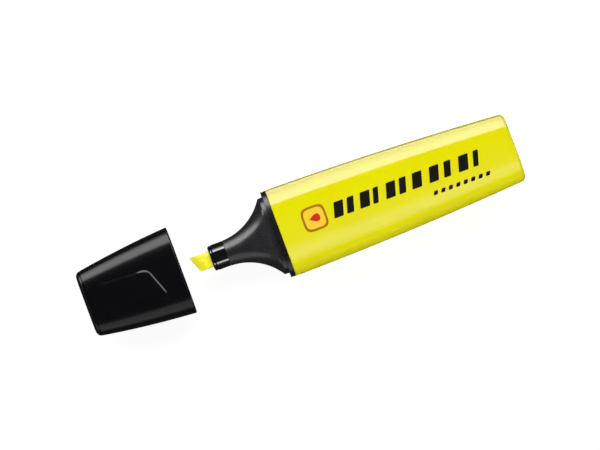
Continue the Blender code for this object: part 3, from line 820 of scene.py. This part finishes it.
def liner_ring(depth, inset=0.0):
    """The nozzle's section with room to slide, so that the sleeve closes round it."""
    width, thick = NOZZLE_HALF_WIDTH + SLIP - inset, NOZZLE_HALF_THICK + SLIP - inset
    flat = NOZZLE_HALF_FLAT - inset * NOZZLE_FLAT_LOSS
    side = NOZZLE_HALF_SIDE - inset * NOZZLE_FLAT_LOSS
    return outline(-depth, chamfered_quarter(width, thick, flat, side, LINER_FOLD))


def liner_base_ring(depth, inset=0.0):
    """The liner's base, with as many points as its sleeve."""
    width = cap_half_width(LINER_BOTTOM + LINER_END_WALL) - CAP_WALL - SLIP - inset
    thick = cap_half_thick(LINER_BOTTOM + LINER_END_WALL) - CAP_WALL - SLIP - inset
    count = len(chamfered_quarter(width, thick, width / 2, thick / 2, LINER_FOLD))
    steps = {"face_steps": count // 2, "corner_steps": count - count // 2 - 1}
    return outline(-depth, body_quarter(width, thick, **steps))


def build_liner():
    lead_in, edge, outside = 0.3 * MM, 0.15 * MM, -LINER_WALL
    bottom = LINER_BOTTOM + LINER_END_WALL
    base_front = bottom - LINER_BASE_THICKNESS
    rings = [liner_base_ring(bottom, edge), liner_base_ring(bottom - edge)]
    rings += [liner_base_ring(base_front + edge), liner_base_ring(base_front, edge)]
    rings += [liner_ring(base_front, outside), liner_ring(LINER_MOUTH + lead_in, outside)]
    rings += [liner_ring(LINER_MOUTH, outside + lead_in), liner_ring(LINER_MOUTH, -lead_in)]
    rings += [liner_ring(LINER_MOUTH + 2 * lead_in), liner_ring(LINER_BOTTOM)]
    return loft("cap_sleeve", rings, CAP_BLACK, CAP_FRAME)


# Print: abstract shapes, and no lettering or mark ----------------------------------------------------------

INK_PROUD = 0.015 * MM  # how far ink stands over the broad face
INK_SUNK = 0.05 * MM  # and how far its patch reaches into the wall
BADGE_CENTRE = (10.9 * MM, 0.7 * MM)
BADGE_HALF = 3.7 * MM
BADGE_LINE = 0.65 * MM
DROP_HALF = 1.75 * MM
BAR_LOW = -1.5 * MM
BAR_HIGH = 3.1 * MM
BAR_LEAN = 1.3 * MM
BAR_WIDTHS = (2.9 * MM, 2.1 * MM, 3.0 * MM, 1.6 * MM)
BAR_GROUPS = ((16.4 * MM, 4.1 * MM, 7), (46.4 * MM, 4.6 * MM, 4))  # first start, pitch and count
TICK_START = 46.3 * MM
TICK_PITCH = 2.35 * MM
TICK_COUNT = 8
TICK_WIDTH = 1.25 * MM
TICK_LOW = -5.3 * MM
TICK_HIGH = -4.1 * MM
TICK_LEAN = 0.4 * MM


def face_height(x, y):
    """The barrel's broad face at (x, y), near its middle."""
    half_width = barrel_half_width(x)
    flat = half_width * FLAT_SHARE
    run = max(abs(y) - flat, 0.0) / (half_width - flat)
    return crowned(half_width, y, barrel_half_thick(x) * (1 - run**BODY_SQUARENESS) ** (1 / BODY_SQUARENESS))


def ink_patch(bm, points, proud=INK_PROUD):
    """A thin flat patch on the barrel's broad face, from the (x, y) points of its edge."""
    top = [bm.verts.new((x, y, face_height(x, y) + proud)) for x, y in points]
    bottom = [bm.verts.new((x, y, face_height(x, y) - INK_SUNK)) for x, y in points]
    bm.faces.new(top)
    bm.faces.new(bottom)
    join_loops(bm, top, bottom)


def ink_band(bm, outer, inner):
    """A closed line of ink between two loops of (x, y) points."""
    loops = []
    for points, height in ((outer, INK_PROUD), (inner, INK_PROUD), (inner, -INK_SUNK), (outer, -INK_SUNK)):
        loops.append([bm.verts.new((x, y, face_height(x, y) + height)) for x, y in points])
    for near, far in zip(loops, loops[1:] + loops[:1]):
        join_loops(bm, near, far)


def squircle(centre, half, power=4.0, steps=64):
    """A square with fully rounded corners."""
    points = []
    for step in range(steps):
        turn = 2 * pi * step / steps
        c, s = cos(turn), sin(turn)
        x = abs(c) ** (2 / power) * (1 if c > 0 else -1)
        y = abs(s) ** (2 / power) * (1 if s > 0 else -1)
        points.append((centre[0] + half * x, centre[1] + half * y))
    return points


def drop(centre, half, steps=40):
    """An ink drop with its point towards the nib."""
    points = []
    for step in range(steps):
        turn = 2 * pi * step / steps
        width = sin(turn) * sin(turn / 2) ** 1.5
        points.append((centre[0] - half * cos(turn), centre[1] + half * 0.95 * width))
    return points


def slanted_bar(start, width, low, high, lean):
    """A bar that leans back by lean, with its corners slightly cut."""
    cut = 0.18 * MM
    end, leaned = start + width, lean * 0.04  # leaned is how far its sides lean within a cut
    return [
        (start + cut, low),
        (end - cut, low),
        (end + leaned, low + cut),
        (end + lean, high - cut),
        (end + lean - cut, high),
        (start + lean + cut, high),
        (start + lean - leaned, high - cut),
        (start, low + cut),
    ]


def build_badge():
    inner = squircle(BADGE_CENTRE, BADGE_HALF - BADGE_LINE)
    line = bmesh.new()
    ink_band(line, squircle(BADGE_CENTRE, BADGE_HALF), inner)
    field = bmesh.new()
    ink_patch(field, inner, INK_PROUD * 0.6)
    centre = bmesh.new()
    ink_patch(centre, drop(BADGE_CENTRE, DROP_HALF))
    return [
        mesh_object("print_badge_line", line, AMBER_INK, PEN_FRAME),
        mesh_object("print_badge_field", field, PALE_INK, PEN_FRAME),
        mesh_object("print_badge_drop", centre, RED_INK, PEN_FRAME),
    ]


def build_bars():
    bm = bmesh.new()
    for first, pitch, count in BAR_GROUPS:
        for index in range(count):
            width = BAR_WIDTHS[index % len(BAR_WIDTHS)]
            ink_patch(bm, slanted_bar(first + index * pitch, width, BAR_LOW, BAR_HIGH, BAR_LEAN))
    return mesh_object("print_bars", bm, BLACK_INK, PEN_FRAME)


def build_ticks():
    bm = bmesh.new()
    for index in range(TICK_COUNT):
        start = TICK_START + index * TICK_PITCH
        ink_patch(bm, slanted_bar(start, TICK_WIDTH, TICK_LOW, TICK_HIGH, TICK_LEAN))
    return mesh_object("print_ticks", bm, BLACK_INK, PEN_FRAME)


# Assembly ------------------------------------------------------------------------------------------------


def attach(piece, body, slot, *nodes):
    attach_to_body(piece, body)
    if nodes:
        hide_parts(*nodes)


barrel, plug, nib = build_barrel(), build_end_plug(), build_nib()
grip, nozzle = build_front_section(), build_nozzle()
cap, sleeve = build_cap(), build_liner()
prints = [*build_badge(), build_bars(), build_ticks()]
attach(barrel, "pen", "barrel_plastic", "barrel")
attach(plug, "pen", "barrel_plastic", "end_plug")
attach(grip, "pen", "grip_plastic", "front_section")
attach(nozzle, "pen", "nozzle_plastic", "nib_holder")
attach(nib, "pen", "nib_fibre", "nib")
attach(cap, "cap", "cap_plastic", "cap_shell")
attach(sleeve, "cap", "cap_plastic", "cap_liner")
for patch in prints:
    attach(patch, "pen", "barrel_plastic")
YELLOW_PIECES = (barrel, plug, nib, *prints)
BARREL_PIECES = (barrel, plug, *prints)
BLACK_PIECES = (grip, nozzle, cap, sleeve)
for node, material in (("reservoir_core", CORE_FIBRE), ("reservoir_wrap", CLEAR_FILM)):
    inner = frame["nodes"][node]
    inner.data.materials.clear()
    inner.data.materials.append(material)

# Studio --------------------------------------------------------------------------------------------------

VIEW_TURN = radians(20.31)  # the pen's axis in the picture, up from level
VIEW_WIDTH = 178.3 * MM  # across the picture, at the height of the pen's axis
VIEW_CENTRE = (6.30 * MM, 0.28 * MM)  # in the pen's frame
LENS = 200.0  # focal length and sensor width, which Blender's camera has in millimetres
SENSOR = 36.0
FLOOR_HALF = 4.0
FLOOR_DROP = 0.3 * MM  # under the pen, so that the two surfaces don't coincide
LIGHT_DISTANCE = 0.75  # from the pen to each softbox
LIGHT_LENGTH = 2.35  # of a softbox, along the pen
CARD_NEAR = 23 * MM
CARD_FAR = 700 * MM
CARD_LENGTH = 900 * MM
CARD_HEIGHT = 0.5 * MM
CARD_RADIANCE = 2.3
RELIEF_GLOW_SIZE = (0.34, 0.5)
RELIEF_GLOW_RADIANCE = 4.5
RELIEF_GLOW_TILT = radians(47)  # from straight up
RELIEF_GLOW_TURN = radians(20)  # from +x towards +y
SKY = ((0.0, 0.03), (0.05, 0.2), (0.4, 0.12), (0.75, 0.02), (1.0, 0.01))  # grey levels from the horizon up


def build_camera():
    """Straight down on the broad face, from far enough away that the perspective is slight."""
    data = bpy.data.cameras.new("camera")
    data.lens = LENS
    data.sensor_width = SENSOR
    data.clip_end = 20.0
    camera = bpy.data.objects.new("camera", data)
    bpy.context.scene.collection.objects.link(camera)
    look_at = PEN_FRAME @ Vector((*VIEW_CENTRE, 0.0))
    distance = VIEW_WIDTH * LENS / SENSOR
    camera.location = look_at + Vector((0.0, 0.0, distance))
    camera.rotation_euler = (0.0, 0.0, -VIEW_TURN)
    bpy.context.scene.camera = camera


def build_floor():
    """A white floor that glows by itself, and that the glossy plastics don't mirror."""
    n = Nodes("floor_white")
    n.set(Base_Color=(0.3, 0.3, 0.3, 1), Roughness=0.9, Specular_IOR_Level=0.0)
    n.set(Emission_Color=(1, 1, 1, 1), Emission_Strength=0.95)
    bm = bmesh.new()
    bmesh.ops.create_grid(bm, x_segments=1, y_segments=1, size=FLOOR_HALF)
    floor = mesh_object("floor", bm, n.material)
    floor.location.z = -FLOOR_DROP
    floor.visible_glossy = False


def area_light(name, size_x, size_y, radiance, highlights=True, only=None):
    """A rectangular light of the given radiance, which the camera doesn't see.

    It makes either the highlights or the soft overall light, and reaches only some pieces if they are given.
    """
    data = bpy.data.lights.new(name, "AREA")
    data.shape = "RECTANGLE"
    data.size = size_x
    data.size_y = size_y
    data.energy = radiance * pi * data.size * data.size_y
    light = bpy.data.objects.new(name, data)
    bpy.context.scene.collection.objects.link(light)
    light.visible_camera = False
    light.visible_diffuse = not highlights
    light.visible_glossy = highlights
    if only:
        lit = bpy.data.collections.new(name)
        for piece in only:
            lit.objects.link(piece)
        light.light_linking.receiver_collection = lit
    return light


def softbox(name, low, high, radiance, highlights=True, only=None):
    """A long light beside the pen, over the angles low to high from straight up, towards +y if positive."""
    low, high = radians(low), radians(high)
    half_angle = (high - low) / 2
    middle = (low + high) / 2
    width = 2 * LIGHT_DISTANCE * abs(sin(half_angle))
    light = area_light(name, LIGHT_LENGTH, width, radiance, highlights, only)
    reach = LIGHT_DISTANCE * cos(half_angle)
    light.location = (0.0, reach * sin(middle), reach * cos(middle))
    light.rotation_euler = (-middle, 0.0, 0.0)


def floor_card(only):
    """A bright strip on the floor beside the pen, for the pale rim that a steep side reflects."""
    card = area_light("floor_card", CARD_LENGTH, CARD_FAR - CARD_NEAR, CARD_RADIANCE, only=only)
    card.location = (0.0, (CARD_NEAR + CARD_FAR) / 2, CARD_HEIGHT)
    card.rotation_euler = (pi, 0.0, 0.0)


def relief_glow(only):
    """A light over the pen's rear, which the short edge of the cap's raised panel catches."""
    glow = area_light("relief_glow", *RELIEF_GLOW_SIZE, RELIEF_GLOW_RADIANCE, only=only)
    level = sin(RELIEF_GLOW_TILT)
    towards = Vector((level * cos(RELIEF_GLOW_TURN), level * sin(RELIEF_GLOW_TURN), cos(RELIEF_GLOW_TILT)))
    glow.location = towards * LIGHT_DISTANCE
    glow.rotation_euler = towards.to_track_quat("Z", "Y").to_euler()


def build_world():
    """Dark overhead and underneath, with a glow all round just above the horizon, and white to look at."""
    world = bpy.data.worlds.new("studio")
    world.use_nodes = True
    tree = world.node_tree
    background = tree.nodes["Background"]
    direction = tree.nodes.new("ShaderNodeTexCoord").outputs["Generated"]
    split = tree.nodes.new("ShaderNodeSeparateXYZ")
    glow = tree.nodes.new("ShaderNodeValToRGB")
    seen = tree.nodes.new("ShaderNodeMix")
    seen.data_type = "RGBA"
    seen.inputs[MIX_TWO].default_value = (1, 1, 1, 1)
    tree.links.new(direction, split.inputs["Vector"])
    tree.links.new(split.outputs["Z"], glow.inputs["Fac"])
    camera_ray = tree.nodes.new("ShaderNodeLightPath").outputs["Is Camera Ray"]
    tree.links.new(camera_ray, seen.inputs[MIX_SHARE])
    tree.links.new(glow.outputs["Color"], seen.inputs[MIX_ONE])
    tree.links.new(seen.outputs[MIX_RESULT], background.inputs["Color"])
    elements = glow.color_ramp.elements
    while len(elements) < len(SKY):
        elements.new(0.5)
    for element, (position, value) in zip(elements, SKY):
        element.position = position
        element.color = (value, value, value, 1)
    bpy.context.scene.world = world


build_camera()
build_floor()
build_world()

# The soft overall light. Angles are in degrees from straight up.
softbox("overall_upper", 24, 54, 1.9, highlights=False)
softbox("overall_yellow", -30, 0, 3.0, highlights=False, only=YELLOW_PIECES)
softbox("overall_nib", 0, 20, 0.45, highlights=False, only=(nib,))
softbox("overall_black", -40, -24, 2.6, highlights=False, only=BLACK_PIECES)

# The panels that the glossy pieces mirror. The yellow and the black pieces show different ones.
softbox("upper_glow", 31, 62, 3.9)
softbox("upper_glow_low", 62, 76, 3.0)
softbox("upper_glow_edge", 76, 89, 3.2, only=YELLOW_PIECES)
softbox("upper_glow_edge_black", 76, 89, 1.0, only=BLACK_PIECES)
softbox("upper_glow_onset", 28.5, 31, 3.9, only=BARREL_PIECES)
softbox("lower_glow_onset", -7, -3, 0.45, only=BARREL_PIECES)
softbox("lower_glow", -30, -7, 0.9, only=BARREL_PIECES)
softbox("lower_glow_low", -42, -30, 0.4, only=BARREL_PIECES)
softbox("lower_glow_side", -75, -32, 0.6, only=BLACK_PIECES)
softbox("nozzle_upper", 22, 54, 5.0, only=(nozzle,))
softbox("nozzle_lower", -54, -22, 5.0, only=(nozzle,))
floor_card(YELLOW_PIECES)
relief_glow((cap,))

bpy.context.scene.view_settings.view_transform = "Standard"
bpy.context.scene.view_settings.look = "None"
